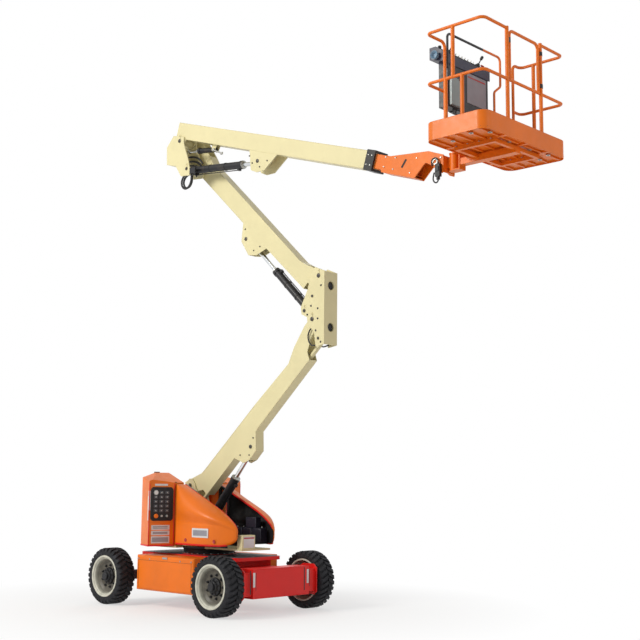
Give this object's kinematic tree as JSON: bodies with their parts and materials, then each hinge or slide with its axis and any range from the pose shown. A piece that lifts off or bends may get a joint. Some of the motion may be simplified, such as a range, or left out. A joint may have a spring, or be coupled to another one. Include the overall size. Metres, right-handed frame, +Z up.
{
  "type": "articulating boom lift",
  "caption": "Battery boom lift with a stacked folding tower, a telescoping main boom and a rotating work platform on a four-wheel chassis.",
  "frame": {"origin": "on the ground, under the turntable's swing axis, midway between the axles", "axes": "+X towards the platform and the drive axle, +Y to the machine's left, +Z up"},
  "size_m": [6.1904, 1.75, 6.2793],
  "materials": {
    "orange": "satin machine enamel",
    "cream": "satin machine enamel",
    "black": "semi-gloss black enamel",
    "rubber": "moulded solid rubber",
    "chrome": "polished chrome",
    "grey": "painted steel"
  },
  "bodies": {
    "chassis": {"chassis_frame": "orange", "battery_box_right": "orange", "battery_box_left": "orange", "drive_axle_beam": "orange", "steer_axle": "grey", "slew_ring": "black"},
    "drive_wheel_left": {"drive_tyre_left": "rubber", "drive_rim_left": "cream"},
    "drive_wheel_right": {"drive_tyre_right": "rubber", "drive_rim_right": "cream"},
    "steer_wheel_left": {"steer_tyre_left": "rubber", "steer_rim_left": "cream"},
    "steer_wheel_right": {"steer_tyre_right": "rubber", "steer_rim_right": "cream"},
    "steering_left": {"steering_knuckle_left": "grey"},
    "steering_right": {"steering_knuckle_right": "grey"},
    "steer_rod": {"steer_rod": "chrome"},
    "turntable": {"turntable_frame": "cream", "counterweight": "orange", "tail_cowl_right": "orange", "tail_cowl_left": "orange"},
    "hood_right": {"hood_right": "orange"},
    "hood_left": {"hood_left": "orange"},
    "lower_boom": {"lower_boom": "cream"},
    "lower_link": {"lower_timing_link": "cream"},
    "lower_lift_barrel": {"lower_lift_barrel": "black"},
    "lower_lift_rod": {"lower_lift_rod": "chrome"},
    "upright": {"upright": "cream"},
    "mid_boom": {"mid_boom": "cream"},
    "mid_link": {"mid_timing_link": "cream"},
    "mid_lift_barrel": {"mid_lift_barrel": "black"},
    "mid_lift_rod": {"mid_lift_rod": "chrome"},
    "knuckle": {"upper_knuckle": "cream"},
    "main_boom": {"main_boom": "cream"},
    "main_lift_barrel": {"main_lift_barrel": "black"},
    "main_lift_rod": {"main_lift_rod": "chrome"},
    "master_barrel": {"master_cylinder_barrel": "black"},
    "master_rod": {"master_cylinder_rod": "chrome"},
    "fly": {"fly_boom": "orange"},
    "level_head": {"level_head": "orange"},
    "platform": {"platform_support": "orange", "platform_pan": "orange", "platform_rail_right": "orange", "platform_rail_left": "orange", "control_console": "black"},
    "gate": {"platform_gate": "orange"}
  },
  "joints": [
    {"name": "drive_wheel_left_spin", "type": "hinge", "parent": "chassis", "child": "drive_wheel_left", "pos_m": [1, 0.75, 0.3465], "axis": [0, 1, 0], "continuous": true},
    {"name": "drive_wheel_right_spin", "type": "hinge", "parent": "chassis", "child": "drive_wheel_right", "pos_m": [1, -0.75, 0.3465], "axis": [0, 1, 0], "continuous": true},
    {"name": "steer_wheel_left_spin", "type": "hinge", "parent": "steering_left", "child": "steer_wheel_left", "pos_m": [-1, 0.75, 0.3465], "axis": [0, 1, 0], "continuous": true},
    {"name": "steer_wheel_right_spin", "type": "hinge", "parent": "steering_right", "child": "steer_wheel_right", "pos_m": [-1, -0.75, 0.3465], "axis": [0, 1, 0], "continuous": true},
    {"name": "steer_right", "type": "hinge", "parent": "chassis", "child": "steering_right", "pos_m": [-1, -0.59, 0.3465], "axis": [0, 0, 1], "range_deg": [-28, 28]},
    {"name": "steer_left", "type": "hinge", "parent": "chassis", "child": "steering_left", "pos_m": [-1, 0.59, 0.3465], "axis": [0, 0, 1], "range_deg": [-28.1, 28.1]},
    {"name": "steer_rod_slide", "type": "slide", "parent": "chassis", "child": "steer_rod", "axis": [0, -1, 0], "range_m": [-0.0642, 0.0642]},
    {"name": "swing", "type": "hinge", "parent": "chassis", "child": "turntable", "pos_m": [0, 0, 0.7], "axis": [0, 0, 1], "range_deg": [-180, 180]},
    {"name": "hood_right_lift", "type": "hinge", "parent": "turntable", "child": "hood_right", "pos_m": [-0.15, -0.29, 1.5], "axis": [-0.9109, 0, 0.4125], "range_deg": [0, 60]},
    {"name": "hood_left_lift", "type": "hinge", "parent": "turntable", "child": "hood_left", "pos_m": [-0.15, 0.29, 1.5], "axis": [0.9109, 0, -0.4125], "range_deg": [0, 60]},
    {"name": "lower_boom_lift", "type": "hinge", "parent": "turntable", "child": "lower_boom", "pos_m": [-0.42, 0.11, 1.48], "axis": [0, -1, 0], "range_deg": [-42.2, 22.8]},
    {"name": "lower_link_swing", "type": "hinge", "parent": "turntable", "child": "lower_link", "pos_m": [-0.32, 0.11, 1.245], "axis": [0, -1, 0], "range_deg": [-42.25, 22.85]},
    {"name": "upright_level", "type": "hinge", "parent": "lower_boom", "child": "upright", "pos_m": [1.74, 0.11, 3.44], "axis": [0, -1, 0], "range_deg": [-22.85, 42.25]},
    {"name": "lower_barrel_swing", "type": "hinge", "parent": "turntable", "child": "lower_lift_barrel", "pos_m": [-0.305, 0.11, 0.819], "axis": [0, -1, 0], "range_deg": [-31.47, 17.03]},
    {"name": "lower_rod_slide", "type": "slide", "parent": "lower_lift_barrel", "child": "lower_lift_rod", "axis": [0.6506, 0, 0.7594], "range_m": [-0.41355, 0.22366]},
    {"name": "mid_boom_lift", "type": "hinge", "parent": "upright", "child": "mid_boom", "pos_m": [1.84, 0.11, 3.95], "axis": [0, 1, 0], "range_deg": [-39.2, 22.8]},
    {"name": "mid_link_swing", "type": "hinge", "parent": "upright", "child": "mid_link", "pos_m": [1.74, 0.11, 3.715], "axis": [0, 1, 0], "range_deg": [-39.25, 22.85]},
    {"name": "knuckle_level", "type": "hinge", "parent": "mid_boom", "child": "knuckle", "pos_m": [-0.556, 0.11, 6.125], "axis": [0, 1, 0], "range_deg": [-22.85, 39.25]},
    {"name": "mid_barrel_swing", "type": "hinge", "parent": "upright", "child": "mid_lift_barrel", "pos_m": [1.61, 0.11, 3.552], "axis": [0, 1, 0], "range_deg": [-38.1, 22.18]},
    {"name": "mid_rod_slide", "type": "slide", "parent": "mid_lift_barrel", "child": "mid_lift_rod", "axis": [-0.7253, 0, 0.6884], "range_m": [-0.30099, 0.17527]},
    {"name": "main_boom_lift", "type": "hinge", "parent": "knuckle", "child": "main_boom", "pos_m": [-0.495, -0.13, 6.013], "axis": [0, -1, 0], "range_deg": [-2.6, 89.4]},
    {"name": "main_barrel_swing", "type": "hinge", "parent": "knuckle", "child": "main_lift_barrel", "pos_m": [-0.338, -0.13, 5.604], "axis": [0, -1, 0], "range_deg": [-2.55, 86.01]},
    {"name": "main_rod_slide", "type": "slide", "parent": "main_lift_barrel", "child": "main_lift_rod", "axis": [0.9942, 0, -0.1079], "range_m": [-0.0191, 0.64008]},
    {"name": "master_barrel_swing", "type": "hinge", "parent": "main_boom", "child": "master_barrel", "pos_m": [0.09392, -0.13, 5.80224], "axis": [0, -1, 0], "range_deg": [-0.063, 0.506]},
    {"name": "master_rod_slide", "type": "slide", "parent": "master_barrel", "child": "master_rod", "axis": [-0.9892, 0, 0.1463], "range_m": [-0.00693, 0.22175]},
    {"name": "telescope", "type": "slide", "parent": "main_boom", "child": "fly", "axis": [0.9542, 0, -0.299], "range_m": [0, 1.9]},
    {"name": "platform_level", "type": "hinge", "parent": "fly", "child": "level_head", "pos_m": [3.74894, -0.13, 4.92196], "axis": [0, -1, 0], "range_deg": [-89.45, 2.65]},
    {"name": "platform_rotate", "type": "hinge", "parent": "level_head", "child": "platform", "pos_m": [3.925, -0.13, 4.9], "axis": [0, 0, 1], "range_deg": [-90, 90]},
    {"name": "gate_swing", "type": "hinge", "parent": "platform", "child": "gate", "pos_m": [4.82, 0.16, 5.5], "axis": [0, 0, -1], "range_deg": [0, 90]}
  ],
  "couplings": [
    {"joint": "steer_left", "follows": "steer_right", "ratio": 1},
    {"joint": "steer_rod_slide", "follows": "steer_right", "m_per_rad": 0.13},
    {"joint": "lower_link_swing", "follows": "lower_boom_lift", "ratio": 1},
    {"joint": "upright_level", "follows": "lower_boom_lift", "ratio": -1},
    {"joint": "lower_barrel_swing", "follows": "lower_boom_lift", "ratio": 0.7446},
    {"joint": "lower_rod_slide", "follows": "lower_boom_lift", "m_per_rad": 0.5608},
    {"joint": "mid_link_swing", "follows": "mid_boom_lift", "ratio": 1},
    {"joint": "knuckle_level", "follows": "mid_boom_lift", "ratio": -1},
    {"joint": "mid_barrel_swing", "follows": "mid_boom_lift", "ratio": 0.9707},
    {"joint": "mid_rod_slide", "follows": "mid_boom_lift", "m_per_rad": 0.4392},
    {"joint": "main_barrel_swing", "follows": "main_boom_lift", "ratio": 0.9615},
    {"joint": "main_rod_slide", "follows": "main_boom_lift", "m_per_rad": 0.4099},
    {"joint": "master_barrel_swing", "follows": "main_boom_lift", "ratio": 0.0051},
    {"joint": "master_rod_slide", "follows": "main_boom_lift", "m_per_rad": 0.1418},
    {"joint": "platform_level", "follows": "main_boom_lift", "ratio": -1}
  ]
}
